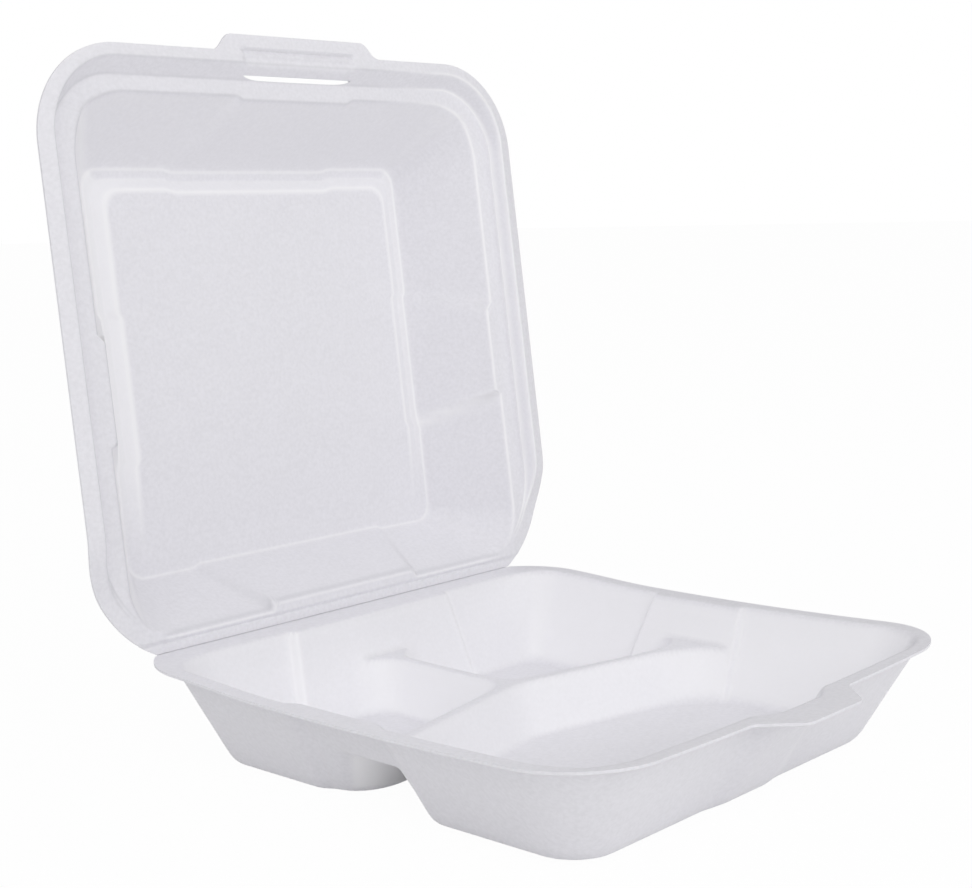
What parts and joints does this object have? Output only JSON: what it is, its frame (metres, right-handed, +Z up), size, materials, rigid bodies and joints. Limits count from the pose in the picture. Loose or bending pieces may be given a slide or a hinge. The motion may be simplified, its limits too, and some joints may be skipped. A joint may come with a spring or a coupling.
{
  "type": "foam clamshell container",
  "caption": "Hinged foam food box: a drafted tray with dividers, and a stepped lid with a pull tab and slot that turns on a crease along the tray's rear edge.",
  "frame": {"origin": "on the flat underside of the tray, midway across the tray's flange in X and Y", "axes": "+Z up, +Y towards the hinge at the rear, +X to the right as seen from the front tongue"},
  "size_m": [0.2396, 0.2749, 0.2607],
  "materials": {
    "foam": "white formed foam sheet with a soft satin skin and fine cell grain"
  },
  "bodies": {
    "tray": {"tray": "foam"},
    "lid": {"lid": "foam"}
  },
  "joints": [
    {"name": "lid_hinge", "type": "hinge", "parent": "tray", "child": "lid", "pos_m": [0, 0.104, 0.038], "axis": [-1, 0, 0], "range_deg": [-95.2, 83.2]}
  ]
}
